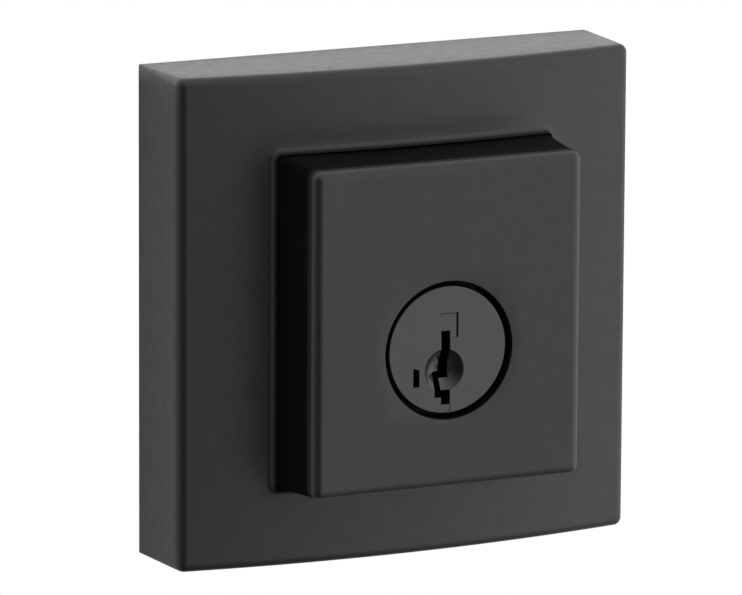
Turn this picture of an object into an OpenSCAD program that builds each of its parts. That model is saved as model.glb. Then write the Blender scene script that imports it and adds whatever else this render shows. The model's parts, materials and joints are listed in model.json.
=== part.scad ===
// Square deadbolt lockset: keyed outside unit, tubular bolt unit and thumbturn inside unit.
// Millimetres. +X runs to the door's edge, the way the bolt goes. +Y runs into the door from
// its outside face. +Z is up. The origin is where the turning axis meets the outside face.
// At rest the bolt is drawn back and the keyway is upright.

/* [Door] */
// Thickness of the door between the two roses
door_thick = 44.45; // [35:0.05:54]
// Turning axis to the door's edge
backset = 60.3; // [55:0.1:72]
// How far the bolt goes out
throw = 25.4; // [22:0.1:27]

/* [Roses] */
// Width and height of each square rose
rose_w = 66.7; // [64:0.1:82]
// Depth of a rose at its left and right edges
rose_depth = 12.8; // [12.4:0.1:16]
// How far the middle of a rose's face stands in front of its edges
rose_crown = 2.9; // [1.5:0.1:3.6]
// Centre of a rose above the turning axis
rose_lift = 3.3; // [2:0.1:5]
// Thickness of the rose's four sides
rose_wall = 3; // [2.6:0.1:3.4]
// Thickness of the rose's face at its left and right edges
rose_front_wall = 3; // [2:0.1:3.4]
// Rounding of the rose's corners
rose_corner = 0.8; // [0.6:0.1:2]
// Thickness of the weather gasket
gasket_thick = 0.8; // [0.5:0.1:1.2]
// Width of the gasket's strip
gasket_w = 1.4; // [1:0.1:1.6]
// Gasket's outer edge to the rose's outer edge
gasket_inset = 0.8; // [0.5:0.1:1]

/* [Raised block] */
// Width of the front plate
plate_w = 39.4; // [36:0.1:41]
// Height of the front plate
plate_h = 44.1; // [40:0.1:46]
// Thickness of the front plate
plate_thick = 2.2; // [1.6:0.1:3]
// Rounding of the front plate's corners
plate_corner = 1; // [0.6:0.1:1.6]
// Centre of the block above the turning axis
block_lift = 3.3; // [2:0.1:5]
// Front of the block to the door
block_front = 26; // [25:0.1:32]
// Thickness of the block's hollow side wall under the plate
shroud_wall = 2.4; // [1.8:0.1:2.8]
// Thickness of the shroud's flange behind the rose's face
flange_thick = 1.5; // [1:0.1:2]
// How far the flange laps behind the rose's face
flange_lap = 3; // [2:0.1:4]
// How much wider the block's root is than its plate, on each side
root_flare = 0.9; // [0.8:0.1:2]
// Rounding of the corners at the block's root
root_corner = 1.5; // [1.2:0.1:4]

/* [Cylinder] */
// Radius of the plug
plug_r = 8.2; // [7.9:0.05:8.8]
// How far the plug's black face overhangs the plug
plug_lip = 0.5; // [0.3:0.05:0.7]
// Gap between the plug's face and the plate round it
face_gap = 0.6; // [0.35:0.05:0.8]
// How far the plug's face sits behind the plate's front
face_sink = 0.5; // [0:0.05:0.6]
// Wall of the cylinder body round the plug
body_wall = 2.75; // [2:0.05:2.8]
// Wall of the housing round the cylinder body
housing_wall = 2.9; // [2:0.1:3.4]
// Cylinder body's back to the door
body_back = 1.5; // [1.2:0.1:2]
// Thickness of the clip that holds the plug in
clip_thick = 0.8; // [0.6:0.1:1]
// How far the clip stands out from the plug
clip_lip = 1.6; // [1.2:0.1:1.8]
// Thickness of the disc that turns the tailpiece
driver_thick = 2.2; // [1.6:0.1:2.6]
// Number of pins
pin_count = 5; // [3:1:5]
// Distance between pins
pin_pitch = 3.4; // [3:0.1:3.6]
// First pin behind the back of the plug's face
pin_first = 3.5; // [3:0.1:4]
// Radius of a pin
pin_r = 1.35; // [1.1:0.05:1.4]
// Length of a pin
pin_len = 3; // [2:0.1:3.6]
// Height of the steel bar beside the racks
sidebar_h = 1.8; // [1.4:0.1:2.4]

/* [Mounting] */
// Wall between each screw post and the clip's recess
post_clear = 0.05; // [0.05:0.05:0.3]
// Radius of a mounting screw
screw_r = 2.1; // [1.8:0.1:2.3]
// Radius of the posts that take the mounting screws
post_r = 3.1; // [2.9:0.1:3.2]
// How far the posts reach into the door
post_end = 9.5; // [7:0.1:9.8]
// Thickness of the housing's square back
backer_thick = 2.5; // [2.2:0.1:3]
// Radius of the round spigot that centres the unit in the door
spigot_r = 25; // [22:0.1:26]
// How far the spigot reaches into the door
spigot_end = 3; // [2:0.1:4]
// Radius of the mounting plate's middle hole
mount_hole_r = 9; // [8.6:0.1:9]
// Thickness of the inside mounting plate
mount_plate_thick = 2; // [1.6:0.1:2.4]

/* [Bolt unit] */
// Bolt's size across the door's thickness
bolt_y = 15.5; // [13:0.1:16]
// Bolt's height
bolt_z = 19; // [17:0.1:19]
// Rounding of the bolt's long edges
bolt_corner = 4; // [3.6:0.1:5]
// Wall of the barrel
barrel_wall = 1.05; // [0.8:0.05:1.1]
// Rim of the front plate beside the barrel
front_rim = 0.7; // [0.6:0.1:3]
// Height of the front plate on the door's edge
front_z = 57.15; // [54:0.05:66]
// Thickness of the front plate
front_thick = 2.2; // [2.1:0.1:3]
// Bolt axis to each wood screw
front_screw_z = 20.65; // [19:0.05:22]
// Length of a wood screw
front_screw_len = 20; // [14:1:32]
// Half the height of the bolt case
case_half_z = 10.4; // [9.6:0.1:10.8]
// Half the thickness of the bolt case
case_half_y = 6.4; // [6.2:0.1:7.2]
// Thickness of the case's sheet
case_wall = 1.2; // [0.8:0.1:1.3]
// Thickness of the flat link
link_thick = 2.5; // [2:0.1:2.8]
// Radius of the crank pin
crank_pin_r = 2.1; // [1.8:0.1:2.3]
// Radius of the cam's hub
hub_r = 6.4; // [6.1:0.05:6.5]
// Radius of the saw-proof steel roller in the bolt
roller_r = 2.5; // [2:0.1:3]

/* [Thumbturn] */
// Radius of the bore that the thumbturn turns in
turn_bore_r = 6; // [5.6:0.1:6.6]
// Radius of the thumbturn's round collar
turn_collar_r = 12.5; // [10:0.1:15]
// Thickness of the collar
turn_collar_thick = 2.6; // [2:0.1:4]
// Thickness of the paddle
paddle_w = 9; // [8:0.1:12]
// Length of the paddle
paddle_h = 40; // [30:0.5:50]
// How far the paddle stands out
paddle_deep = 17; // [12:0.5:22]
// Rounding of the paddle's long edges
paddle_corner = 3.2; // [1:0.1:3.8]

/* [Fits] */
// Gap of turning and sliding fits, on the radius
running_gap = 0.05; // [0.02:0.01:0.1]
// Gap between faces that pass each other
pass_gap = 0.35; // [0.3:0.05:0.5]
// Gap round the tailpiece in its slots
blade_gap = 0.3; // [0.2:0.05:0.4]
// Gap between the bolt and its guides
guide_gap = 0.3; // [0.2:0.05:0.35]
// Extra gap beside the crank pin, because the fork moves straight and the pin swings
crank_slack = 0.75; // [0.7:0.05:0.9]

/* [Hidden] */
$fn = 48;
eps = 0.01;

// colours
satin_black = "#2c2c2e";
gloss_black = "#101011";
zinc = "#8f9294";
steel = "#b4b7ba";
brass = "#c2a256";
rubber_black = "#1b1b1c";

// door
mid_y = door_thick / 2;

// roses
crown_r = (pow(rose_w / 2, 2) + pow(rose_crown, 2)) / (2 * rose_crown);
rose_cavity = rose_w - 2 * rose_wall;
gasket_outer = rose_w - 2 * gasket_inset;

// raised block
shroud_front = block_front - plate_thick;
shroud_back = rose_depth - rose_front_wall;
plug_face_r = plug_r + plug_lip;
face_hole_r = plug_face_r + face_gap;
// the concave side wall: each step's distance from root to plate, then its share of the flare
wall_root = rose_depth + 1.4;
wall_rise = shroud_front - wall_root;
wall_steps = [
    [shroud_back, 1],
    [wall_root, 1],
    [wall_root + 0.25 * wall_rise, 0.6],
    [wall_root + 0.62 * wall_rise, 0.33],
    [shroud_front, 0.03],
];

// cylinder
plug_face_front = block_front - face_sink;
plug_face_back = shroud_front + pass_gap;
body_r = plug_r + running_gap + body_wall;
housing_r = body_r + housing_wall;
clip_r = plug_r + clip_lip;
spigot_hole_r = clip_r + 0.55;
clip_front = body_back - 0.4;
clip_groove_r = plug_r - 0.8;
plug_tail = 1.2;
driver_r = plug_r - 0.2;
chamber_r = pin_r + 0.05;
pin_bottom = 0.4;
spring_top = plug_r - 0.8;
cap_h = 0.6;
spring_wall = 0.35;
pin_y = -plug_face_back + pin_first;
rack_w = 2.6;
rack_d = 2.4;
rack_h = 8.4;
rack_gap = 0.2;
rack_x = -plug_r + 1.8;
rack_y = pin_y - rack_d / 2 - 2 * rack_gap;
rack_room = (pin_count - 1) * pin_pitch + rack_d + 4 * rack_gap;
sidebar_gap = 0.1;
sidebar_out = plug_r - 0.2;

// keyway seen from outside: upright slot, jog to the left, lower slot
key_top = 2.57;
key_jog = -3;
key_slot_low = -3.95;
key_left_low = -6.4;
key_low_top = -5.45;
key_bottom = -7.4;
key_left = -1.84;
key_mid = -0.88;
key_right = 0.42;
tool_slot = [0.9, 2.5];
tool_slot_at = [-4.55, -3.5];
face_dish_r = 3;
face_dish_z = -2.76;
face_dish_deep = 0.6;
face_square = [2.8, 3.4];
face_square_at = [0.2, 3.3];
face_square_deep = 0.15;

// mounting
screw_x = spigot_hole_r + post_r + post_clear;
screw_tip = 1.5;
screw_head_r = 2 * screw_r - 0.2;
screw_head_h = 2.4;
screw_cross = 0.9;
screw_cross_deep = 1.2;
housing_screw_at = rose_cavity / 2 - 6.35;
housing_screw_r = 1.5;
housing_screw_head_r = 2.8;
housing_screw_head = backer_thick - 1;
housing_screw_tip = 8.5;
housing_boss_r = 3.6;
boss_gap = 0.2;
mount_plate_w = rose_cavity - 0.5;

// tailpiece
blade_w = 2.4;
blade_h = 6.6;
blade_slot_w = blade_w + 2 * blade_gap;
blade_slot_h = blade_h + 2 * blade_gap;
blade_start = plug_tail + 0.2;
blade_end = door_thick + 6.5;

// cam
crank_at = throw / 2;
crank_r = throw / sqrt(2);
fork_half = crank_pin_r + crank_slack;
prong_w = 1.8;
prong_top = crank_r + 1.24;
crank_reach = crank_at + fork_half + prong_w + 2.4;
hub_half = case_half_y - case_wall - 0.3;
journal_r = hub_r - 0.9;
journal_half = case_half_y + 0.2;
arm_gap = link_thick / 2 + pass_gap;
arm_thick = 1.9;
arm_tip_r = crank_pin_r + 1.1;
leaf_thick = 0.6;
leaf_half_y = 3;

// bolt unit
barrel_start = screw_x + 4.9;
barrel_flange = 1.2;
bolt_tail = barrel_start + 0.6;
bolt_reach = bolt_corner + norm([bolt_y / 2 - bolt_corner, bolt_z / 2 - bolt_corner]);
link_bar_low = hub_r + 0.6;
link_bar_top = link_bar_low + 3.4;
link_reach = norm([link_bar_top, link_thick / 2]);
barrel_bore_r = max(bolt_reach, link_reach) + guide_gap;
barrel_r = barrel_bore_r + barrel_wall;
front_y = 2 * (barrel_r + front_rim);
front_corner = 0.24 * front_y;
front_back = backset - front_thick;
backer_start = front_back - 1.2;
front_screw_r = 2;
front_screw_head_r = 4;
front_screw_head = 2;
front_screw_point = 4;
case_back = -crank_reach - case_wall;
case_screw_r = screw_r + 0.7;
rivet_r = 1.1;
rivet_x = case_back + case_wall + rivet_r;
rivet_z = case_half_z - 3.4;
roller_start = bolt_tail + 12;
roller_len = backset - roller_start - 3.3;
link_slot = link_thick + 0.2;
link_tongue_end = bolt_tail + 10;
link_tongue_half = 5;
link_pin_r = 1.5;
link_pin_x = bolt_tail + 5.5;

// inside unit
inside_edge = door_thick + rose_depth;
inside_crown = inside_edge + rose_crown;
inside_wall_back = inside_edge - rose_front_wall;
turn_journal_r = turn_bore_r - running_gap;
spindle_start = door_thick + 2.6;
ring_r = turn_bore_r + 2.4;
ring_thick = 0.8;
washer_r = turn_bore_r + 2;
washer_thick = 0.6;
ring_start = inside_wall_back - pass_gap - washer_thick - ring_thick;
groove_r = turn_journal_r - 0.85;
turn_start = inside_crown + pass_gap;
turn_socket_r = paddle_w / 2 - 1.2;
turn_socket_deep = 8;
grub_r = 1.5;
grub_len = 3.8;
grub_gap = 0.1;
turn_grub_y = turn_start + turn_collar_thick + 2.6;
rose_grub_y = door_thick + mount_plate_thick + 3;

// ---- shape helpers ----

// exact rounded rectangle, centred
module round_rect(w, h, r) {
    square([w - 2 * r, h], center = true);
    square([w, h - 2 * r], center = true);
    for (sx = [-1, 1], sy = [-1, 1]) {
        translate([sx * (w / 2 - r), sy * (h / 2 - r)]) circle(r);
    }
}

// a flat shape drawn in X and Z, given depth from y0 to y1
module along_y(y0, y1) {
    translate([0, y1, 0]) rotate([90, 0, 0]) linear_extrude(height = y1 - y0) children();
}

// a flat shape drawn in Y and Z, given length from x0 to x1
module along_x(x0, x1) {
    translate([x0, 0, 0]) rotate([90, 0, 90]) linear_extrude(height = x1 - x0) children();
}

module y_rod(r, y0, y1) {
    along_y(y0, y1) circle(r);
}

module x_rod(r, x0, x1) {
    along_x(x0, x1) circle(r);
}

// a cone along X that goes from radius r0 at x0 to radius r1 at x1
module x_cone(r0, r1, x0, x1) {
    translate([x0, 0, 0]) rotate([0, 90, 0]) cylinder(r1 = r0, r2 = r1, h = x1 - x0);
}

module at_screws() {
    for (side = [-1, 1]) {
        translate([side * screw_x, 0, 0]) children();
    }
}

module at_rose_centre() {
    translate([0, 0, rose_lift]) children();
}

module at_rose_corners() {
    for (sx = [-1, 1], sz = [-1, 1]) {
        translate([sx * housing_screw_at, 0, rose_lift + sz * housing_screw_at]) children();
    }
}

module at_bolt_axis() {
    translate([0, mid_y, 0]) children();
}

module at_front_screws() {
    for (side = [-1, 1]) {
        translate([0, mid_y, side * front_screw_z]) children();
    }
}

module blade_slot(y0, y1) {
    along_y(y0, y1) square([blade_slot_w, blade_slot_h], center = true);
}

// ---- outside unit ----

// square shell with a face that is crowned from left to right, facing -Y
module rose_shell() {
    difference() {
        intersection() {
            at_rose_centre() along_y(-rose_depth - rose_crown, 0)
                round_rect(rose_w, rose_w, rose_corner);
            translate([0, crown_r - rose_depth - rose_crown, rose_lift])
                cylinder(r = crown_r, h = 2 * rose_w, center = true, $fn = 128);
        }
        at_rose_centre() along_y(-shroud_back, eps) round_rect(rose_cavity, rose_cavity, rose_corner);
    }
}

module gasket_strip() {
    at_rose_centre() along_y(-gasket_thick, eps) difference() {
        round_rect(gasket_outer, gasket_outer, rose_corner);
        round_rect(gasket_outer - 2 * gasket_w, gasket_outer - 2 * gasket_w, rose_corner / 2);
    }
}

module outside_rose() {
    color(satin_black) difference() {
        union() {
            rose_shell();
            at_rose_corners() y_rod(housing_boss_r, -shroud_back - eps, -backer_thick);
        }
        translate([0, 0, block_lift]) along_y(-rose_depth - rose_crown - 1, -shroud_back + eps)
            round_rect(plate_w + 2 * root_flare, plate_h + 2 * root_flare, root_corner);
        gasket_strip();
        at_rose_corners() y_rod(housing_screw_r, -housing_screw_tip, 0);
    }
}

module rose_gasket() {
    color(rubber_black) intersection() {
        gasket_strip();
        at_rose_centre() along_y(-gasket_thick, 0) square(2 * rose_w, center = true);
    }
}

module housing_screws() {
    color(steel) at_rose_corners() {
        y_rod(housing_screw_r, -housing_screw_tip, -housing_screw_head);
        y_rod(housing_screw_head_r, -housing_screw_head, 0);
    }
}

// outline of the block's side wall where it has this share of the root's flare
module wall_outline(share) {
    round_rect(plate_w + 2 * root_flare * share, plate_h + 2 * root_flare * share,
               plate_corner + (root_corner - plate_corner) * share);
}

// one band of the concave side wall, between two steps
module wall_band(from, to) {
    hull() {
        along_y(-from[0] - eps, -from[0]) wall_outline(from[1], $fn = 32);
        along_y(-to[0], -to[0] + eps) wall_outline(to[1], $fn = 32);
    }
}

module block_shroud() {
    color(gloss_black) translate([0, 0, block_lift]) difference() {
        union() {
            for (i = [0 : len(wall_steps) - 2]) {
                wall_band(wall_steps[i], wall_steps[i + 1]);
            }
            along_y(-shroud_back, -shroud_back + flange_thick)
                round_rect(plate_w + 2 * root_flare + 2 * flange_lap,
                           plate_h + 2 * root_flare + 2 * flange_lap, root_corner);
        }
        along_y(-block_front, 0)
            round_rect(plate_w - 2 * shroud_wall, plate_h - 2 * shroud_wall, plate_corner);
        translate([0, 0, -block_lift]) at_rose_corners()
            y_rod(housing_boss_r + boss_gap, -shroud_back, 0);
    }
}

module face_plate() {
    color(satin_black) difference() {
        translate([0, 0, block_lift]) along_y(-block_front, -shroud_front)
            round_rect(plate_w, plate_h, plate_corner);
        y_rod(face_hole_r, -block_front - 1, 0);
    }
}

// casting behind the rose: tube for the cylinder, square back, spigot and two screw posts
module cylinder_housing() {
    color(zinc) difference() {
        union() {
            y_rod(housing_r, -shroud_front, -eps);
            at_rose_centre() along_y(-backer_thick, 0)
                round_rect(rose_cavity, rose_cavity, rose_corner);
            y_rod(spigot_r, -eps, spigot_end);
            at_screws() y_rod(post_r, 0, post_end);
        }
        y_rod(body_r, -shroud_front - 1, -body_back);
        y_rod(spigot_hole_r, -body_back - eps, spigot_end + 1);
        at_screws() y_rod(screw_r, screw_tip, post_end + 1);
        at_rose_corners() {
            y_rod(housing_screw_r, -backer_thick - 1, 0);
            y_rod(housing_screw_head_r, -housing_screw_head, 1);
        }
    }
}

module cylinder_body() {
    color(brass) difference() {
        y_rod(body_r, -shroud_front, -body_back);
        y_rod(plug_r + running_gap, -shroud_front - 1, 0);
    }
}

// ---- keyed plug and what turns with it ----

module keyway() {
    polygon([
        [key_mid, key_top],
        [key_right, key_top],
        [key_right, key_slot_low],
        [key_mid, key_slot_low],
        [key_mid, key_low_top],
        [key_right, key_low_top],
        [key_right, key_bottom],
        [key_mid, key_bottom],
        [key_mid, key_left_low],
        [key_left, key_left_low],
        [key_left, key_jog],
        [key_mid, key_jog],
    ]);
}

module tool_opening() {
    translate(tool_slot_at) square(tool_slot, center = true);
}

module plug_face() {
    dish_r = (pow(face_dish_r, 2) + pow(face_dish_deep, 2)) / (2 * face_dish_deep);
    color(satin_black) difference() {
        y_rod(plug_face_r, -plug_face_front, -plug_face_back);
        along_y(-plug_face_front - 1, 0) keyway();
        along_y(-plug_face_front - 1, 0) tool_opening();
        along_y(-plug_face_front - 1, -plug_face_front + face_square_deep)
            translate(face_square_at) square(face_square, center = true);
        translate([key_mid / 2, -plug_face_front + face_dish_deep - dish_r, face_dish_z])
            sphere(dish_r, $fn = 96);
    }
}

module at_pins() {
    for (i = [0 : pin_count - 1]) {
        translate([(key_mid + key_right) / 2, pin_y + i * pin_pitch, 0]) children();
    }
}

module clip_groove() {
    difference() {
        y_rod(plug_r + 1, -clip_front, -clip_front + clip_thick);
        y_rod(clip_groove_r, -body_back, 0);
    }
}

module key_plug() {
    color(brass) difference() {
        y_rod(plug_r, -plug_face_back, plug_tail);
        along_y(-plug_face_back - 1, -body_back - 1) keyway();
        along_y(-plug_face_back - 1, rack_y + eps) tool_opening();
        at_pins() translate([0, 0, pin_bottom]) cylinder(r = chamber_r, h = plug_r);
        translate([rack_x, rack_y, -rack_h / 2 - rack_gap])
            cube([rack_w + 2 * rack_gap, rack_room, rack_h + 2 * rack_gap]);
        translate([-plug_r - 1, rack_y, -sidebar_h / 2 - sidebar_gap])
            cube([rack_x + plug_r + 1 + eps, rack_room, sidebar_h + 2 * sidebar_gap]);
        clip_groove();
    }
}

module key_pins() {
    color(brass) at_pins() translate([0, 0, pin_bottom]) cylinder(r = pin_r, h = pin_len);
}

module pin_springs() {
    spring_h = spring_top - cap_h - pin_bottom - pin_len;
    color(steel) at_pins() translate([0, 0, pin_bottom + pin_len]) difference() {
        cylinder(r = pin_r, h = spring_h);
        translate([0, 0, -1]) cylinder(r = pin_r - spring_wall, h = spring_h + 2);
    }
}

module pin_caps() {
    color(brass) at_pins() translate([0, 0, spring_top - cap_h]) cylinder(r = chamber_r, h = cap_h);
}

module rekey_racks() {
    color(steel) for (i = [0 : pin_count - 1]) {
        translate([rack_x + rack_gap, pin_y + i * pin_pitch - rack_d / 2, -rack_h / 2])
            cube([rack_w, rack_d, rack_h]);
    }
}

module sidebar() {
    color(steel) translate([-sidebar_out, rack_y + rack_gap, -sidebar_h / 2])
        cube([sidebar_out + rack_x + rack_gap, rack_room - 2 * rack_gap, sidebar_h]);
}

module plug_clip() {
    color(steel) difference() {
        y_rod(clip_r, -clip_front, -clip_front + clip_thick);
        y_rod(clip_groove_r, -body_back, 0);
        translate([0, 0, -clip_r]) cube([clip_groove_r / 2, 2 * body_back + 1, clip_r], center = true);
    }
}

module tailpiece_driver() {
    color(zinc) difference() {
        y_rod(driver_r, plug_tail, plug_tail + driver_thick);
        along_y(blade_start, blade_end) square([blade_w, blade_h], center = true);
    }
}

module tailpiece() {
    color(steel) along_y(blade_start, blade_end) square([blade_w, blade_h], center = true);
}

// ---- bolt unit ----

module bolt_outline(grow) {
    round_rect(bolt_y + 2 * grow, bolt_z + 2 * grow, bolt_corner + grow);
}

module bolt() {
    color(zinc) at_bolt_axis() difference() {
        along_x(bolt_tail, backset) bolt_outline(0);
        translate([bolt_tail - 1, -link_slot / 2, -link_tongue_half - pass_gap])
            cube([link_tongue_end - bolt_tail + 1 + pass_gap, link_slot, bolt_z]);
        translate([link_pin_x, 0, 0]) y_rod(link_pin_r, -bolt_y, bolt_y);
        x_rod(roller_r + running_gap, roller_start, roller_start + roller_len + guide_gap);
    }
}

module bolt_roller() {
    color(steel) at_bolt_axis() x_rod(roller_r, roller_start, roller_start + roller_len);
}

module link_pin() {
    color(steel) at_bolt_axis() translate([link_pin_x, 0, 0])
        y_rod(link_pin_r, -bolt_y / 2 + pass_gap, bolt_y / 2 - pass_gap);
}

// flat link: tongue in the bolt's tail, bar over the hub, open fork round the crank pin
module link_outline() {
    outer = fork_half + prong_w;
    polygon([
        [link_tongue_end, -link_tongue_half],
        [link_tongue_end, link_tongue_half],
        [link_tongue_end - 3, link_bar_top],
        [outer - crank_at, link_bar_top],
        [outer - crank_at, prong_top],
        [fork_half - crank_at, prong_top],
        [fork_half - crank_at, link_bar_low + 2],
        [-fork_half - crank_at, link_bar_low + 2],
        [-fork_half - crank_at, prong_top],
        [-outer - crank_at, prong_top],
        [-outer - crank_at, link_bar_low],
        [bolt_tail + pass_gap, link_bar_low],
        [bolt_tail + pass_gap, -link_tongue_half],
    ]);
}

module bolt_link() {
    color(steel) at_bolt_axis() difference() {
        along_y(-link_thick / 2, link_thick / 2) link_outline();
        translate([link_pin_x, 0, 0]) y_rod(link_pin_r, -bolt_y, bolt_y);
    }
}

// the cam is drawn with its arm up, then leaned back to where it holds the bolt in
module cam_pose() {
    at_bolt_axis() rotate([0, -45, 0]) children();
}

module cam_arm(y0) {
    side = 0.25;
    wide = sqrt(1 - side * side);
    along_y(y0, y0 + arm_thick) {
        circle(hub_r);
        translate([0, crank_r]) circle(arm_tip_r);
        polygon([
            [-hub_r * wide, hub_r * side],
            [-arm_tip_r * wide, crank_r + arm_tip_r * side],
            [arm_tip_r * wide, crank_r + arm_tip_r * side],
            [hub_r * wide, hub_r * side],
        ]);
    }
}

module cam() {
    color(zinc) difference() {
        cam_pose() difference() {
            union() {
                y_rod(hub_r, -hub_half, hub_half);
                y_rod(journal_r, -journal_half, journal_half);
                cam_arm(arm_gap);
                cam_arm(-arm_gap - arm_thick);
            }
            translate([0, 0, crank_r]) y_rod(crank_pin_r, -hub_half, hub_half);
        }
        at_bolt_axis() blade_slot(-journal_half - 1, journal_half + 1);
    }
}

module crank_pin() {
    color(steel) cam_pose() translate([0, 0, crank_r])
        y_rod(crank_pin_r, -arm_gap - arm_thick, arm_gap + arm_thick);
}

// one side of the open-topped case, from its outer face to the middle; side is -1 or 1
module case_half(side) {
    color(steel) at_bolt_axis() mirror([0, side > 0 ? 1 : 0, 0]) difference() {
        translate([case_back, -case_half_y, -case_half_z])
            cube([barrel_start - case_back, case_half_y, 2 * case_half_z]);
        translate([case_back + case_wall, -case_half_y + case_wall, -case_half_z + case_wall])
            cube([barrel_start - case_back, case_half_y, 2 * case_half_z]);
        y_rod(journal_r + running_gap, -case_half_y - 1, 0);
        at_screws() y_rod(case_screw_r, -case_half_y - 1, 0);
        for (s = [-1, 1]) {
            translate([rivet_x, 0, s * rivet_z]) y_rod(rivet_r, -case_half_y - 1, 0);
        }
    }
}

module case_outer_half() {
    case_half(-1);
}

module case_inner_half() {
    case_half(1);
}

module case_rivets() {
    head_h = 0.7;
    color(steel) at_bolt_axis() for (s = [-1, 1]) {
        translate([rivet_x, 0, s * rivet_z]) {
            y_rod(rivet_r, -case_half_y, case_half_y);
            y_rod(2 * rivet_r, -case_half_y - head_h, -case_half_y);
            y_rod(2 * rivet_r, case_half_y, case_half_y + head_h);
        }
    }
}

// bowed leaf under the hub that steadies the cam at either end of its swing
module detent_spring() {
    low = -case_half_z + case_wall;
    bow = -hub_r - pass_gap - leaf_thick;
    color(steel) at_bolt_axis() along_y(-leaf_half_y, leaf_half_y) polygon([
        [-11, low],
        [-7, low],
        [-2.5, bow],
        [2.5, bow],
        [7, low],
        [11, low],
        [11, low + leaf_thick],
        [7.3, low + leaf_thick],
        [2.8, bow + leaf_thick],
        [-2.8, bow + leaf_thick],
        [-7.3, low + leaf_thick],
        [-11, low + leaf_thick],
    ]);
}

module bolt_barrel() {
    color(steel) at_bolt_axis() difference() {
        x_rod(barrel_r, barrel_start, front_back);
        x_rod(barrel_bore_r, barrel_start + barrel_flange, front_back + 1);
        along_x(barrel_start - 1, backer_start) bolt_outline(guide_gap);
        translate([barrel_start - 1, -link_slot / 2 - guide_gap, 0])
            cube([barrel_flange + 2, link_slot + 2 * guide_gap, link_bar_top + pass_gap]);
    }
}

module front_outline() {
    round_rect(front_y, front_z, front_corner);
}

module front_backer() {
    color(steel) difference() {
        at_bolt_axis() along_x(backer_start, front_back) front_outline();
        at_bolt_axis() x_rod(barrel_r + running_gap, backer_start - 1, front_back + 1);
        at_front_screws() x_rod(front_screw_r, backer_start - 1, front_back + 1);
    }
}

module front_plate() {
    color(satin_black) difference() {
        at_bolt_axis() along_x(front_back, backset) front_outline();
        at_bolt_axis() along_x(front_back - 1, backset + 1) bolt_outline(guide_gap);
        at_front_screws() {
            x_rod(front_screw_r, front_back - 1, backset + 1);
            x_cone(front_screw_r, front_screw_head_r, backset - front_screw_head, backset + eps);
        }
    }
}

module front_screws() {
    tip = backset - front_screw_len;
    color(satin_black) at_front_screws() difference() {
        union() {
            x_rod(front_screw_r, tip + front_screw_point, backset - front_screw_head + eps);
            x_cone(front_screw_r, front_screw_head_r, backset - front_screw_head, backset);
            x_cone(0.4, front_screw_r, tip, tip + front_screw_point + eps);
        }
        for (turn = [0, 90]) {
            translate([backset, 0, 0]) rotate([turn, 0, 0])
                cube([2 * screw_cross_deep, screw_cross, front_screw_head_r + 0.6], center = true);
        }
    }
}

// ---- inside unit ----

module mounting_plate() {
    plate_back = door_thick + mount_plate_thick;
    color(steel) difference() {
        at_rose_centre() along_y(door_thick, plate_back)
            round_rect(mount_plate_w, mount_plate_w, rose_corner);
        y_rod(mount_hole_r, door_thick - 1, plate_back + 1);
        at_screws() y_rod(screw_r, door_thick - 1, plate_back + 1);
    }
}

module mounting_screws() {
    head_y = door_thick + mount_plate_thick;
    color(steel) at_screws() difference() {
        union() {
            y_rod(screw_r, screw_tip, head_y);
            y_rod(screw_head_r, head_y, head_y + screw_head_h);
        }
        for (turn = [0, 90]) {
            translate([0, head_y + screw_head_h, 0]) rotate([0, turn, 0])
                cube([screw_head_r + 0.6, 2 * screw_cross_deep, screw_cross], center = true);
        }
    }
}

module inside_rose() {
    color(satin_black) difference() {
        translate([0, door_thick, 0]) mirror([0, 1, 0]) rose_shell();
        y_rod(turn_bore_r, door_thick, inside_crown + 1);
        translate([0, rose_grub_y, rose_lift - rose_w / 2 - 1]) cylinder(r = grub_r, h = rose_wall + 2);
    }
}

module rose_grub_screw() {
    color(steel) translate([0, rose_grub_y, rose_lift - rose_w / 2 + 0.3])
        cylinder(r = grub_r, h = grub_len);
}

module ring_space() {
    difference() {
        y_rod(ring_r, ring_start, ring_start + ring_thick);
        y_rod(groove_r, ring_start - 1, ring_start + ring_thick + 1);
    }
}

module turn_spindle() {
    color(zinc) difference() {
        union() {
            y_rod(turn_journal_r, spindle_start, turn_start);
            y_rod(turn_socket_r, inside_crown, turn_start + turn_socket_deep);
        }
        ring_space();
        blade_slot(spindle_start - 1, blade_end + 0.6);
    }
}

module retaining_ring() {
    color(steel) difference() {
        ring_space();
        translate([0, ring_start, -ring_r]) cube([groove_r, 3, ring_r], center = true);
    }
}

module turn_washer() {
    washer_start = ring_start + ring_thick;
    color(steel) difference() {
        y_rod(washer_r, washer_start, washer_start + washer_thick);
        y_rod(turn_journal_r, washer_start - 1, washer_start + washer_thick + 1);
    }
}

module thumbturn() {
    paddle_start = turn_start + turn_collar_thick;
    color(satin_black) difference() {
        union() {
            y_rod(turn_collar_r, turn_start, paddle_start);
            along_y(paddle_start - eps, paddle_start + paddle_deep)
                round_rect(paddle_w, paddle_h, paddle_corner);
        }
        y_rod(turn_socket_r, turn_start - 1, turn_start + turn_socket_deep);
        translate([0, turn_grub_y, 0]) rotate([0, 90, 0]) cylinder(r = grub_r, h = paddle_w);
    }
}

module turn_grub_screw() {
    tip = turn_socket_r + grub_gap / 2;
    color(steel) translate([tip, turn_grub_y, 0]) rotate([0, 90, 0])
        cylinder(r = grub_r, h = paddle_w / 2 - grub_gap - tip);
}

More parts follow.
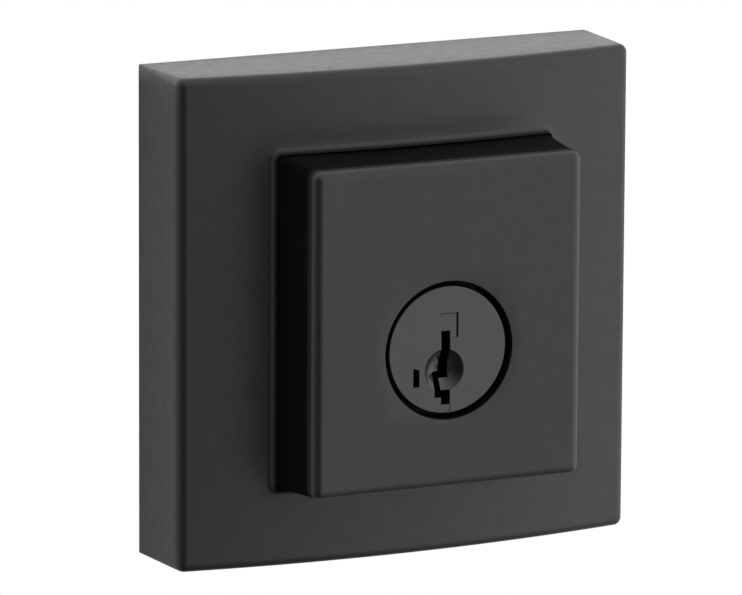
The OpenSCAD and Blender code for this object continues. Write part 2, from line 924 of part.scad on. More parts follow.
// ---- drawing ----
outside_rose();
rose_gasket();
housing_screws();
block_shroud();
face_plate();
cylinder_housing();
cylinder_body();
plug_face();
key_plug();
key_pins();
pin_springs();
pin_caps();
rekey_racks();
sidebar();
plug_clip();
tailpiece_driver();
tailpiece();
bolt();
bolt_roller();
link_pin();
bolt_link();
cam();
crank_pin();
case_outer_half();
case_inner_half();
case_rivets();
detent_spring();
bolt_barrel();
front_backer();
front_plate();
front_screws();
mounting_plate();
mounting_screws();
inside_rose();
rose_grub_screw();
turn_spindle();
retaining_ring();
turn_washer();
thumbturn();
turn_grub_screw();
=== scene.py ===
"""A square satin black deadbolt lockset, standing in a plain white display board."""

import json
import math

import bmesh
import bpy
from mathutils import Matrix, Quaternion, Vector


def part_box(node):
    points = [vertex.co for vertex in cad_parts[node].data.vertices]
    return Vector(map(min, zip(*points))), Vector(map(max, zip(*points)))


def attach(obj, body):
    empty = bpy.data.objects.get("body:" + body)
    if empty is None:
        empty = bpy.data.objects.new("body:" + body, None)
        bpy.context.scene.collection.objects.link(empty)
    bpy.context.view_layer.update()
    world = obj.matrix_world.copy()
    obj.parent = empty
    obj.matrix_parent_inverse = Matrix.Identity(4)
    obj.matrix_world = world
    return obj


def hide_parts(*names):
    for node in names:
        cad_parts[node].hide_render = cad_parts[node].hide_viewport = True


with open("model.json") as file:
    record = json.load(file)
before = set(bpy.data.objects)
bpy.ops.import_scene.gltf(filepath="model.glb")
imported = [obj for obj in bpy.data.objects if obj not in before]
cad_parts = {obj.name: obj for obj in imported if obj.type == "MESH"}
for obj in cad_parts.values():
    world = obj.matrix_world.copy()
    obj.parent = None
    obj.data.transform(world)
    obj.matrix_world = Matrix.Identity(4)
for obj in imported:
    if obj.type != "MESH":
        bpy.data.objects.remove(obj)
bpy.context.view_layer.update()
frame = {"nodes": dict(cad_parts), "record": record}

MM = 0.001

# ---------------------------------------------------------------- sizes from the frame

rose_low, rose_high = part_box("outside_rose")
inside_low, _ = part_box("inside_rose")
plate_low, plate_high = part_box("face_plate")
plug_low, plug_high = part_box("plug_face")
turn_low, turn_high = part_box("thumbturn")

ROSE_W = rose_high.x - rose_low.x
ROSE_MID_Z = (rose_low.z + rose_high.z) / 2
ROSE_CROWN = 2.9 * MM
ROSE_EDGE_DEPTH = -rose_low.y - ROSE_CROWN
ROSE_WALL = 3 * MM
FACE_WALL = 3 * MM
DOOR_THICK = inside_low.y
PLATE_W = plate_high.x - plate_low.x
PLATE_H = plate_high.z - plate_low.z
PLATE_SOFT = 1.25 * MM
PLATE_MID_Z = (plate_low.z + plate_high.z) / 2
PLATE_FRONT = -plate_low.y
SHROUD_FRONT = -plate_high.y
ROOT_FLARE = 0.7 * MM
ROOT_CORNER = 0.9 * MM
BACK_CORNER = 0.3 * MM
SOFT_EDGE = 1.15 * MM
ROOT_FILLET = 0.85 * MM
ROOT_FILLET_RISE = 1.2 * MM
SUPPORT = 0.12 * MM
PLUG_GAP = 0.6 * MM
HOLE_R = plug_high.x + PLUG_GAP
HOLE_LIP = 0.15 * MM
SHARP = 1e-5
TURN_BORE_R = 6 * MM
SHROUD_WALL = 2.4 * MM

# ---------------------------------------------------------------- mesh helpers

CORNER_STEPS = 8
SIDE_STEPS = 20


def add_mesh(name, verts, faces, material, smooth_deg=35):
    """A mesh object made of these corners and faces, smooth except across sharp edges."""
    mesh = bpy.data.meshes.new(name)
    mesh.from_pydata([tuple(v) for v in verts], [], faces)
    mesh.validate()
    bm = bmesh.new()
    bm.from_mesh(mesh)
    bmesh.ops.remove_doubles(bm, verts=bm.verts, dist=1e-7)
    bmesh.ops.recalc_face_normals(bm, faces=bm.faces)
    bm.to_mesh(mesh)
    bm.free()
    mesh.polygons.foreach_set("use_smooth", [True] * len(mesh.polygons))
    mesh.set_sharp_from_angle(angle=math.radians(smooth_deg))
    piece = bpy.data.objects.new(name, mesh)
    bpy.context.scene.collection.objects.link(piece)
    mesh.materials.append(material)
    return piece


def rounded_outline(width, height, radius, mid_x=0.0, mid_z=0.0):
    """Corners of a rounded rectangle, anticlockwise, always the same number of them."""
    points = []
    half_w = width / 2 - radius
    half_h = height / 2 - radius
    centres = [(half_w, half_h), (-half_w, half_h), (-half_w, -half_h), (half_w, -half_h)]
    for quarter, (cx, cz) in enumerate(centres):
        start = quarter * math.pi / 2
        for step in range(CORNER_STEPS + 1):
            angle = start + step / CORNER_STEPS * math.pi / 2
            points.append(Vector((mid_x + cx + radius * math.cos(angle),
                                  mid_z + cz + radius * math.sin(angle))))
        next_x, next_z = centres[(quarter + 1) % 4]
        end = start + math.pi / 2
        here = points[-1].copy()
        there = Vector((mid_x + next_x + radius * math.cos(end),
                        mid_z + next_z + radius * math.sin(end)))
        for step in range(1, SIDE_STEPS):
            points.append(here.lerp(there, step / SIDE_STEPS))
    return points


def circle_like(points, radius):
    """A circle round the turning axis with one corner in line with each given point."""
    return [p.normalized() * radius for p in points]


def ring_at(points, depth):
    """Sets a flat outline at a depth in front of the door. depth is a number or a function of x."""
    found = []
    for p in points:
        d = depth(p.x) if callable(depth) else depth
        found.append(Vector((p.x, -d, p.y)))
    return found


def loft(name, rings, material, closed=False, smooth_deg=35):
    """Skins a row of rings with the same number of corners. closed joins the last to the first."""
    count = len(rings[0])
    verts = [v for ring in rings for v in ring]
    faces = []
    last = len(rings) if closed else len(rings) - 1
    for i in range(last):
        a = i * count
        b = ((i + 1) % len(rings)) * count
        for k in range(count):
            n = (k + 1) % count
            faces.append((a + k, a + n, b + n, b + k))
    if not closed:
        faces.append(tuple(range(count)))
        faces.append(tuple(range((len(rings) - 1) * count, len(rings) * count)))
    return add_mesh(name, verts, faces, material, smooth_deg)


def eased(steps):
    """Angles of a quarter turn, from just after 0 to 90 degrees."""
    return [math.pi / 2 * (i + 1) / steps for i in range(steps)]


def mirror_to_inside(piece):
    """Turns a piece made for the outside face into its twin on the inside face."""
    for v in piece.data.vertices:
        v.co.y = DOOR_THICK - v.co.y
    piece.data.flip_normals()


# ---------------------------------------------------------------- materials


def new_material(name):
    material = bpy.data.materials.new(name)
    material.use_nodes = True
    nodes = material.node_tree.nodes
    return material, nodes, material.node_tree.links, nodes["Principled BSDF"]


def noise(nodes, links, scale, detail=3.0, stretch=(1, 1, 1)):
    """Noise in the piece's own metres, stretched if asked. Gives the noise node."""
    place = nodes.new("ShaderNodeTexCoord")
    mapping = nodes.new("ShaderNodeMapping")
    mapping.inputs["Scale"].default_value = stretch
    texture = nodes.new("ShaderNodeTexNoise")
    texture.inputs["Scale"].default_value = scale
    texture.inputs["Detail"].default_value = detail
    links.new(place.outputs["Object"], mapping.inputs["Vector"])
    links.new(mapping.outputs["Vector"], texture.inputs["Vector"])
    return texture


def spread(nodes, links, source, low, high, start=0.3, end=0.7):
    """Maps a noise's middle range to low..high."""
    remap = nodes.new("ShaderNodeMapRange")
    remap.inputs["From Min"].default_value = start
    remap.inputs["From Max"].default_value = end
    remap.inputs["To Min"].default_value = low
    remap.inputs["To Max"].default_value = high
    links.new(source, remap.inputs["Value"])
    return remap.outputs["Result"]


def two_tone(nodes, links, factor, first, second):
    ramp = nodes.new("ShaderNodeMix")
    ramp.data_type = "RGBA"
    ramp.inputs["A"].default_value = (*first, 1)
    ramp.inputs["B"].default_value = (*second, 1)
    links.new(factor, ramp.inputs["Factor"])
    return ramp.outputs["Result"]


def add_bump(nodes, links, shader, height, strength, distance, below=None):
    bump = nodes.new("ShaderNodeBump")
    bump.inputs["Strength"].default_value = strength
    bump.inputs["Distance"].default_value = distance
    links.new(height, bump.inputs["Height"])
    if below is not None:
        links.new(below.outputs["Normal"], bump.inputs["Normal"])
    links.new(bump.outputs["Normal"], shader.inputs["Normal"])
    return bump


def coated_metal(name, dark, light, rough_low, rough_high, bump_depth, ior=1.5):
    """A sprayed and baked coat: fine orange peel, slightly uneven gloss and tone, paler edges."""
    material, nodes, links, shader = new_material(name)
    shader.inputs["IOR"].default_value = ior
    grain = noise(nodes, links, 2600, 2.0)
    peel = noise(nodes, links, 650, 3.0)
    patches = noise(nodes, links, 45, 2.0)
    tone = two_tone(nodes, links, spread(nodes, links, patches.outputs["Fac"], 0, 1), dark, light)
    geometry = nodes.new("ShaderNodeNewGeometry")
    rub = spread(nodes, links, geometry.outputs["Pointiness"], 0, 0.35, 0.53, 0.62)
    worn = nodes.new("ShaderNodeMix")
    worn.data_type = "RGBA"
    worn.inputs["B"].default_value = (*[3 * c for c in light], 1)
    links.new(rub, worn.inputs["Factor"])
    links.new(tone, worn.inputs["A"])
    links.new(worn.outputs["Result"], shader.inputs["Base Color"])
    rough = spread(nodes, links, peel.outputs["Fac"], rough_low, rough_high)
    links.new(rough, shader.inputs["Roughness"])
    first = add_bump(nodes, links, shader, peel.outputs["Fac"], 0.35, bump_depth)
    add_bump(nodes, links, shader, grain.outputs["Fac"], 0.25, bump_depth / 3, first)
    return material


def bare_metal(name, dark, light, rough_low, rough_high, stretch, bump_depth=4e-6):
    """Bare or plated metal with fine drawn marks along the least stretched direction."""
    material, nodes, links, shader = new_material(name)
    shader.inputs["Metallic"].default_value = 1.0
    lines = noise(nodes, links, 900, 4.0, stretch)
    patches = noise(nodes, links, 120, 3.0)
    tone = two_tone(nodes, links, spread(nodes, links, patches.outputs["Fac"], 0, 1), dark, light)
    links.new(tone, shader.inputs["Base Color"])
    links.new(spread(nodes, links, lines.outputs["Fac"], rough_low, rough_high),
              shader.inputs["Roughness"])
    add_bump(nodes, links, shader, lines.outputs["Fac"], 0.3, bump_depth)
    return material


def black_front_painted_shade(plain, name):
    """A copy of a metal turned black where it shows at the outside unit's front: partly a black front
    finish, partly painted shade on the keyway's brass walls and in the gap round the plug.
    """
    material = plain.copy()
    material.name = name
    nodes = material.node_tree.nodes
    links = material.node_tree.links
    shader = nodes["Principled BSDF"]
    shader.inputs["IOR"].default_value = 1.1
    place = nodes.new("ShaderNodeTexCoord")
    split = nodes.new("ShaderNodeSeparateXYZ")
    links.new(place.outputs["Object"], split.inputs["Vector"])
    # painted shade: everything in front of 15 to 18 mm turns black, including the brass keyway walls and the
    # gap round the plug, which are dark only from shade
    black_front_and_shade_mask = spread(nodes, links, split.outputs["Y"], 1.0, 0.0, -18 * MM, -15 * MM)
    bare = shader.inputs["Base Color"].links[0].from_socket
    mix = nodes.new("ShaderNodeMix")
    mix.data_type = "RGBA"
    mix.inputs["B"].default_value = (0.003, 0.003, 0.003, 1)
    links.new(black_front_and_shade_mask, mix.inputs["Factor"])
    links.new(bare, mix.inputs["A"])
    links.new(mix.outputs["Result"], shader.inputs["Base Color"])
    links.new(spread(nodes, links, black_front_and_shade_mask, 1.0, 0.0, 0.0, 1.0), shader.inputs["Metallic"])
    return material


DEEP_BLACK = (0.0018, 0.0018, 0.0019), (0.0026, 0.0026, 0.0027)
# Painted shade: a smoother black that reflects very little. It goes on the block's side walls, the plate's
# hole wall and the plug's rim in place of the shade there.
COVE_BLACK_PAINTED_SHADE = (0.004, 0.004, 0.004), (0.006, 0.006, 0.006)
satin_black = coated_metal("satin_black", *DEEP_BLACK, 0.40, 0.46, 4e-6)
cove_black_painted_shade = coated_metal("cove_black_painted_shade", *COVE_BLACK_PAINTED_SHADE, 0.27, 0.34, 5e-6, 1.08)
zinc = bare_metal("cast_zinc", (0.30, 0.31, 0.32), (0.42, 0.43, 0.44), 0.38, 0.55, (1, 1, 1), 1.5e-5)
steel = bare_metal("plated_steel", (0.48, 0.49, 0.50), (0.60, 0.61, 0.62), 0.22, 0.38, (0.15, 1, 1))
nickel = bare_metal("bolt_steel", (0.56, 0.55, 0.53), (0.64, 0.63, 0.61), 0.16, 0.28, (0.08, 1, 1))
brass = bare_metal("turned_brass", (0.58, 0.42, 0.17), (0.70, 0.53, 0.25), 0.2, 0.34, (1, 0.1, 1))
brass_black_front_painted_shade = black_front_painted_shade(brass, "brass_painted_shade_front")
plug_black = coated_metal("plug_black", *DEEP_BLACK, 0.20, 0.26, 4e-6, 1.56)
rubber = coated_metal("foam_rubber", (0.012, 0.012, 0.012), (0.022, 0.022, 0.022), 0.75, 0.9, 6e-5, 1.4)

# ---------------------------------------------------------------- roses


def face_depth(x):
    """How far the crowned face stands in front of the door at this x."""
    return ROSE_EDGE_DEPTH + ROSE_CROWN * (1 - (x / (ROSE_W / 2)) ** 2)


def rose_rings(opening, fillet):
    """Rings of a hollow rose, from its back edge over the face, through the opening and back."""
    full = rounded_outline(ROSE_W, ROSE_W, SOFT_EDGE, 0, ROSE_MID_Z)
    rings = []
    for share in (0.0, 0.3, 0.6, 0.8):
        corner = BACK_CORNER + (SOFT_EDGE - BACK_CORNER) * share
        side = rounded_outline(ROSE_W, ROSE_W, corner, 0, ROSE_MID_Z)
        rings.append(ring_at(side, share * ROSE_EDGE_DEPTH))
    rings.append(ring_at(full, lambda x: face_depth(x) - SOFT_EDGE))
    for angle in eased(7):
        inset = SOFT_EDGE * (1 - math.cos(angle))
        drop = SOFT_EDGE * (1 - math.sin(angle))
        shrunk = rounded_outline(ROSE_W - 2 * inset, ROSE_W - 2 * inset, max(SOFT_EDGE - inset, SHARP),
                                 0, ROSE_MID_Z)
        rings.append(ring_at(shrunk, lambda x, d=drop: face_depth(x) - d))
    flat_w = ROSE_W - 2 * (SOFT_EDGE + SUPPORT)
    outer = rounded_outline(flat_w, flat_w, SHARP, 0, ROSE_MID_Z)
    rings.append(ring_at(outer, face_depth))
    inner = opening(fillet)
    face_steps = 7
    for step in range(1, face_steps + 1):
        mixed = [o.lerp(i, step / face_steps) for o, i in zip(outer, inner)]
        rings.append(ring_at(mixed, face_depth))
    if fillet > 0:
        for angle in eased(6):
            rings.append(ring_at(opening(fillet * (1 - math.sin(angle))),
                                 lambda x, a=angle: face_depth(x) + ROOT_FILLET_RISE * (1 - math.cos(a))))
    ceiling = ROSE_EDGE_DEPTH - FACE_WALL
    cavity = rounded_outline(ROSE_W - 2 * ROSE_WALL, ROSE_W - 2 * ROSE_WALL, SOFT_EDGE, 0, ROSE_MID_Z)
    rings.append(ring_at(opening(0), ceiling))
    rings.append(ring_at(cavity, ceiling))
    rings.append(ring_at(cavity, 0.0))
    return rings


def block_root(extra):
    return rounded_outline(PLATE_W + 2 * (ROOT_FLARE + extra), PLATE_H + 2 * (ROOT_FLARE + extra),
                           ROOT_CORNER + extra, 0, PLATE_MID_Z)


def turn_bore(extra):
    outline = rounded_outline(ROSE_W, ROSE_W, SOFT_EDGE, 0, ROSE_MID_Z)
    return circle_like(outline, TURN_BORE_R + extra)


outside_rose = loft("outside_rose_shell", rose_rings(block_root, ROOT_FILLET), satin_black, closed=True)
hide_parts("outside_rose")
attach(outside_rose, "lock")

inside_rose = loft("inside_rose_shell", rose_rings(turn_bore, 0.0), satin_black, closed=True)
mirror_to_inside(inside_rose)
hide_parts("inside_rose")
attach(inside_rose, "lock")

# ---------------------------------------------------------------- raised block


LEAST_FLARE = 0.03
FLARE_POWER = 1.3


def wall_outline(share):
    """Outline of the block's side wall where it has this share of the root's flare."""
    return rounded_outline(PLATE_W + 2 * ROOT_FLARE * share, PLATE_H + 2 * ROOT_FLARE * share,
                           SOFT_EDGE + (ROOT_CORNER - SOFT_EDGE) * share, 0, PLATE_MID_Z)


def shroud_rings():
    root = ROSE_EDGE_DEPTH + ROOT_FILLET_RISE
    back = ROSE_EDGE_DEPTH - FACE_WALL
    rings = [ring_at(wall_outline(1), back)]
    steps = 12
    for step in range(steps + 1):
        along = step / steps
        share = LEAST_FLARE + (1 - LEAST_FLARE) * (1 - along) ** FLARE_POWER
        rings.append(ring_at(wall_outline(share), root + (SHROUD_FRONT - root) * along))
    hollow = rounded_outline(PLATE_W - 2 * SHROUD_WALL, PLATE_H - 2 * SHROUD_WALL, SOFT_EDGE, 0, PLATE_MID_Z)
    rings.append(ring_at(hollow, SHROUD_FRONT))
    rings.append(ring_at(hollow, back))
    return rings


def plate_rings():
    full = rounded_outline(PLATE_W, PLATE_H, PLATE_SOFT, 0, PLATE_MID_Z)
    rings = [ring_at(full, SHROUD_FRONT), ring_at(full, PLATE_FRONT - PLATE_SOFT)]
    for angle in eased(7):
        inset = PLATE_SOFT * (1 - math.cos(angle))
        shrunk = rounded_outline(PLATE_W - 2 * inset, PLATE_H - 2 * inset, max(PLATE_SOFT - inset, SHARP),
                                 0, PLATE_MID_Z)
        rings.append(ring_at(shrunk, PLATE_FRONT - PLATE_SOFT * (1 - math.sin(angle))))
    outer = rounded_outline(PLATE_W - 2 * (PLATE_SOFT + SUPPORT), PLATE_H - 2 * (PLATE_SOFT + SUPPORT),
                            SHARP, 0, PLATE_MID_Z)
    rings.append(ring_at(outer, PLATE_FRONT))
    round_edge = circle_like(full, HOLE_R + HOLE_LIP)
    for step in range(1, 6):
        rings.append(ring_at([o.lerp(c, step / 5) for o, c in zip(outer, round_edge)], PLATE_FRONT))
    for angle in eased(4):
        rings.append(ring_at(circle_like(full, HOLE_R + HOLE_LIP * (1 - math.sin(angle))),
                             PLATE_FRONT - HOLE_LIP * (1 - math.cos(angle))))
    rings.append(ring_at(circle_like(full, HOLE_R), SHROUD_FRONT))
    return rings


# painted shade: the block's side wall gets the dull painted-shade black
shroud = loft("block_side_wall", shroud_rings(), cove_black_painted_shade, closed=True)
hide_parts("block_shroud")
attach(shroud, "lock")

plate = loft("block_front_plate", plate_rings(), satin_black, closed=True)
# painted shade: faces inside the plug's hole, behind the plate's front, get the dull painted-shade black
plate.data.materials.append(cove_black_painted_shade)
for face in plate.data.polygons:
    off_axis = Vector((face.center.x, face.center.z)).length
    behind_front = face.center.y + PLATE_FRONT
    if off_axis < HOLE_R + 0.1 * MM and behind_front > 0.01 * MM:
        face.material_index = 1
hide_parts("face_plate")
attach(plate, "lock")

# ---------------------------------------------------------------- plug face

KEY_LEFT = -1.84 * MM
KEY_MID = -0.88 * MM
KEY_RIGHT = 0.42 * MM
PLUG_FRONT = -plug_low.y
PLUG_BACK = -plug_high.y
PLUG_R = plug_high.x
PLUG_LIP = 0.25 * MM
DISH_R = 2.9 * MM
DISH_Z = -2.76 * MM
DISH_DEEP = 1.15 * MM
MARK_DEEP = 0.08 * MM
LINE_DEEP = 0.35 * MM
SEAM_DEEP = 0.12 * MM
CLEAR = 0.2 * MM


def prism(name, outline, near, far):
    """A cutter: an outline in X and Z between two depths."""
    points = [Vector(p) for p in outline]
    return loft(name, [ring_at(points, near), ring_at(points, far)], satin_black)


def dish_cutter(name):
    """A shallow round cone with a small flat floor, opening towards the front."""
    outline = rounded_outline(MM, MM, 0.3 * MM)
    rings = []
    for share, down in ((1.04, -0.1), (0.97, 0.04), (0.85, 0.26), (0.5, 0.74), (0.15, 1.0)):
        circle = [p + Vector((KEY_MID / 2, DISH_Z)) for p in circle_like(outline, DISH_R * share)]
        rings.append(ring_at(circle, PLUG_FRONT - down * DISH_DEEP))
    return loft(name, rings, satin_black)


def cut(piece, cutter):
    """Takes the cutter's shape out of the piece, then throws the cutter away."""
    step = piece.modifiers.new("cut", "BOOLEAN")
    step.operation = "DIFFERENCE"
    step.solver = "EXACT"
    step.object = cutter
    bake(piece)
    bpy.data.objects.remove(cutter)


def bake(piece):
    """Makes the piece's modifiers part of its mesh."""
    graph = bpy.context.evaluated_depsgraph_get()
    old = piece.data
    piece.data = bpy.data.meshes.new_from_object(piece.evaluated_get(graph))
    piece.modifiers.clear()
    bpy.data.meshes.remove(old)


def soften(piece, width, segments=2, angle=35):
    """Rounds the piece's sharp edges a little."""
    bm = bmesh.new()
    bm.from_mesh(piece.data)
    bmesh.ops.remove_doubles(bm, verts=bm.verts, dist=2e-6)
    bmesh.ops.dissolve_limit(bm, angle_limit=math.radians(0.5), verts=bm.verts, edges=bm.edges)
    bm.to_mesh(piece.data)
    bm.free()
    step = piece.modifiers.new("soften", "BEVEL")
    step.width = width
    step.segments = segments
    step.limit_method = "ANGLE"
    step.angle_limit = math.radians(angle)
    step.use_clamp_overlap = True
    bake(piece)
    piece.data.polygons.foreach_set("use_smooth", [True] * len(piece.data.polygons))
    piece.data.set_sharp_from_angle(angle=math.radians(40))
    weigh = piece.modifiers.new("weigh", "WEIGHTED_NORMAL")
    weigh.keep_sharp = True
    bake(piece)


def rect(left, right, low, high):
    """Outline of a rectangle, from its sides in millimetres."""
    return [(left * MM, low * MM), (right * MM, low * MM), (right * MM, high * MM), (left * MM, high * MM)]


def lead_in(name):
    """A cutter for the sloping facet that leads the key's tip into the left of the keyway."""
    top = -1.0 * MM
    low = -3.05 * MM
    front = PLUG_FRONT + CLEAR
    inner = PLUG_FRONT - 1.0 * MM
    outer = PLUG_FRONT - 0.35 * MM
    right = KEY_MID + 0.1 * MM
    verts = [(right, -front, top), (right, -front, low), (KEY_LEFT, -front, low),
             (right, -inner, top), (right, -inner, low), (KEY_LEFT, -outer, low)]
    faces = [(0, 1, 2), (3, 5, 4), (0, 3, 4, 1), (1, 4, 5, 2), (2, 5, 3, 0)]
    return add_mesh(name, verts, faces, satin_black)


def plug_rings():
    outline = rounded_outline(MM, MM, 0.3 * MM)
    rings = [ring_at(circle_like(outline, PLUG_R), PLUG_BACK),
             ring_at(circle_like(outline, PLUG_R), PLUG_FRONT - PLUG_LIP)]
    for angle in eased(4):
        rings.append(ring_at(circle_like(outline, PLUG_R - PLUG_LIP * (1 - math.cos(angle))),
                             PLUG_FRONT - PLUG_LIP * (1 - math.sin(angle))))
    return rings


def make_plug():
    """The plug's black face with its dish, keyway, slot and marks cut into it."""
    plug = loft("plug_cap", plug_rings(), plug_black)
    # painted shade: the plug cap's rounded rim and side, at the gap round it, get the dull painted-shade
    # black
    plug.data.materials.append(cove_black_painted_shade)
    for face in plug.data.polygons:
        if Vector((face.center.x, face.center.z)).length > PLUG_R - PLUG_LIP and face.normal.y > -0.9:
            face.material_index = 1
    cut(plug, dish_cutter("dish"))
    through = PLUG_BACK - MM
    front = PLUG_FRONT + CLEAR
    keyway = [(KEY_MID, 2.57 * MM), (KEY_RIGHT, 2.57 * MM), (KEY_RIGHT, -3.95 * MM), (KEY_MID, -3.95 * MM),
              (KEY_MID, -5.45 * MM), (KEY_RIGHT, -5.45 * MM), (KEY_RIGHT, -7.4 * MM), (KEY_MID, -7.4 * MM),
              (KEY_MID, -6.4 * MM), (KEY_LEFT, -6.4 * MM), (KEY_LEFT, -3.0 * MM), (KEY_MID, -3.0 * MM)]
    cut(plug, prism("keyway", keyway, front, through))
    tool_slot = [(-5.0 * MM, -4.75 * MM), (-4.1 * MM, -4.75 * MM), (-4.1 * MM, -2.45 * MM),
                 (-5.0 * MM, -2.15 * MM)]
    cut(plug, prism("tool_slot", tool_slot, front, through))
    cut(plug, prism("square_mark", rect(-1.24, 1.6, 1.6, 5.0), front, PLUG_FRONT - MARK_DEEP))
    cut(plug, prism("square_top", rect(-1.24, 1.6, 4.8, 5.0), front, PLUG_FRONT - LINE_DEEP))
    cut(plug, prism("square_side", rect(1.35, 1.6, 1.6, 5.0), front, PLUG_FRONT - LINE_DEEP))
    cut(plug, prism("seam", rect(0.36, 0.46, -9.0, -7.3), front, PLUG_FRONT - SEAM_DEEP))
    cut(plug, lead_in("lead_in"))
    return plug


plug = make_plug()
soften(plug, 0.07 * MM)
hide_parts("plug_face")
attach(plug, "key_plug")

# ---------------------------------------------------------------- thumbturn

PADDLE_W = 9 * MM
PADDLE_H = turn_high.z - turn_low.z
PADDLE_CORNER = 3.2 * MM
COLLAR_R = turn_high.x
COLLAR_THICK = 2.6 * MM
COLLAR_SOFT = 1 * MM
COLLAR_BACK_SOFT = 0.3 * MM
COLLAR_EDGE = 1.5 * MM
NECK = 0.4 * MM
SOCKET_R = 3.3 * MM
SOCKET_DEEP = 8 * MM
TURN_SOFT = 1.2 * MM


def turn_rings():
    """Rings from the socket's floor, round the collar and up the paddle to its end."""
    start = turn_low.y
    end = turn_high.y
    paddle = rounded_outline(PADDLE_W, PADDLE_H, PADDLE_CORNER)
    face = start + COLLAR_THICK
    rings = [ring_at(circle_like(paddle, SOCKET_R), -(start + SOCKET_DEEP)),
             ring_at(circle_like(paddle, SOCKET_R), -start),
             ring_at(circle_like(paddle, COLLAR_R - COLLAR_BACK_SOFT), -start),
             ring_at(circle_like(paddle, COLLAR_R), -(start + COLLAR_BACK_SOFT))]
    for angle in [0.0] + eased(5):
        rings.append(ring_at(circle_like(paddle, COLLAR_R - COLLAR_SOFT * (1 - math.cos(angle))),
                             -(face - COLLAR_SOFT * (1 - math.sin(angle)))))
    root = rounded_outline(PADDLE_W + TURN_SOFT, PADDLE_H, PADDLE_CORNER + TURN_SOFT / 2)
    reach = COLLAR_R - COLLAR_EDGE
    near = [p if p.length < reach else p.normalized() * reach for p in root]
    rings.append(ring_at(near, -face))
    for angle in eased(5):
        grow = TURN_SOFT * (1 - math.sin(angle))
        up = rounded_outline(PADDLE_W + grow, PADDLE_H, PADDLE_CORNER + grow / 2)
        rings.append(ring_at(up, -(face + NECK + TURN_SOFT * (1 - math.cos(angle)))))
    rings.append(ring_at(paddle, -(end - TURN_SOFT)))
    for angle in eased(6):
        inset = TURN_SOFT * (1 - math.cos(angle))
        up = rounded_outline(PADDLE_W - 2 * inset, PADDLE_H - 2 * inset, PADDLE_CORNER - inset)
        rings.append(ring_at(up, -(end - TURN_SOFT * (1 - math.sin(angle)))))
    flat = TURN_SOFT + SUPPORT
    top = rounded_outline(PADDLE_W - 2 * flat, PADDLE_H - 2 * flat, PADDLE_CORNER - flat)
    rings.append(ring_at(top, -end))
    return rings


turn = loft("thumbturn_paddle", turn_rings(), satin_black)
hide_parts("thumbturn")
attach(turn, "thumbturn")

# ---------------------------------------------------------------- looks of the CAD nodes kept

looks = {
    zinc: ["cylinder_housing", "tailpiece_driver", "cam", "turn_spindle"],
    brass: ["pin_caps"],
    # the plug, its body and pins get brass with a black front: partly a black finish, partly painted shade
    # inside the keyway and round the plug
    brass_black_front_painted_shade: ["cylinder_body", "key_plug", "key_pins"],
    rubber: ["rose_gasket"],
    nickel: ["bolt", "bolt_roller"],
    satin_black: ["front_plate", "front_screws"],
}
edge_widths = {
    "bolt": 0.6 * MM,
    "front_plate": 0.3 * MM,
    "front_screws": 0.1 * MM,
    "bolt_barrel": 0.15 * MM,
    "case_outer_half": 0.3 * MM,
    "case_inner_half": 0.3 * MM,
    "mounting_plate": 0.2 * MM,
    "bolt_link": 0.2 * MM,
    "cam": 0.2 * MM,
    "case_rivets": 0.15 * MM,
    "cylinder_housing": 0.2 * MM,
}
node_body = {name: body for body, names in frame["record"]["behaviour"]["bodies"].items() for name in names}


def look_of(name):
    for look, names in looks.items():
        if name in names:
            return look
    return steel


def softened_twin(name, width):
    """A copy of a CAD node with its sharp edges rounded, riding on the same body."""
    node = frame["nodes"][name]
    mesh = node.data.copy()
    mesh.transform(node.matrix_world)
    mesh.materials.clear()
    mesh.materials.append(look_of(name))
    twin = bpy.data.objects.new(name + "_soft", mesh)
    bpy.context.scene.collection.objects.link(twin)
    soften(twin, width)
    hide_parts(name)
    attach(twin, node_body[name])


for name, node in frame["nodes"].items():
    node.data.materials.clear()
    node.data.materials.append(look_of(name))
for name, width in edge_widths.items():
    softened_twin(name, width)

# ---------------------------------------------------------------- stage

BOARD_GAP = 0.4 * MM
BOARD_THICK = 2 * MM
BOARD_LEFT = -66 * MM
BOARD_RIGHT = 61 * MM
BOARD_TOP = 54 * MM
BOARD_HOLE_R = 27.5 * MM
BOARD_CORNER = 0.5 * MM
GLOW_ACROSS = (0.76, 0.53, -42 * MM, -34 * MM)
GLOW_UP = (0.0, 1.15, 34 * MM, 38 * MM)
FLOOR_HALF = 2
FLOOR_THICK = 0.01
FLOOR_Z = -47 * MM


def glow_material(name, seen):
    """A stage surface that looks white and gives off softer light, brightest near its top."""
    material = bpy.data.materials.new(name)
    material.use_nodes = True
    nodes = material.node_tree.nodes
    links = material.node_tree.links
    nodes.clear()
    out = nodes.new("ShaderNodeOutputMaterial")
    glow = nodes.new("ShaderNodeEmission")
    path = nodes.new("ShaderNodeLightPath")
    remap = nodes.new("ShaderNodeMapRange")
    place = nodes.new("ShaderNodeTexCoord")
    split = nodes.new("ShaderNodeSeparateXYZ")
    links.new(place.outputs["Object"], split.inputs["Vector"])
    left = spread(nodes, links, split.outputs["X"], *GLOW_ACROSS)
    top = spread(nodes, links, split.outputs["Z"], *GLOW_UP)
    felt = nodes.new("ShaderNodeMath")
    felt.operation = "ADD"
    links.new(left, felt.inputs[0])
    links.new(top, felt.inputs[1])
    links.new(felt.outputs[0], remap.inputs["To Min"])
    remap.inputs["To Max"].default_value = seen
    links.new(path.outputs["Is Camera Ray"], remap.inputs["Value"])
    links.new(remap.outputs["Result"], glow.inputs["Strength"])
    links.new(glow.outputs["Emission"], out.inputs["Surface"])
    return material


def box_mesh(name, low, high, material):
    corners = [(x, y, z) for x in (low[0], high[0]) for y in (low[1], high[1]) for z in (low[2], high[2])]
    faces = [(0, 1, 3, 2), (4, 6, 7, 5), (0, 4, 5, 1), (2, 3, 7, 6), (0, 2, 6, 4), (1, 5, 7, 3)]
    return add_mesh(name, corners, faces, material)


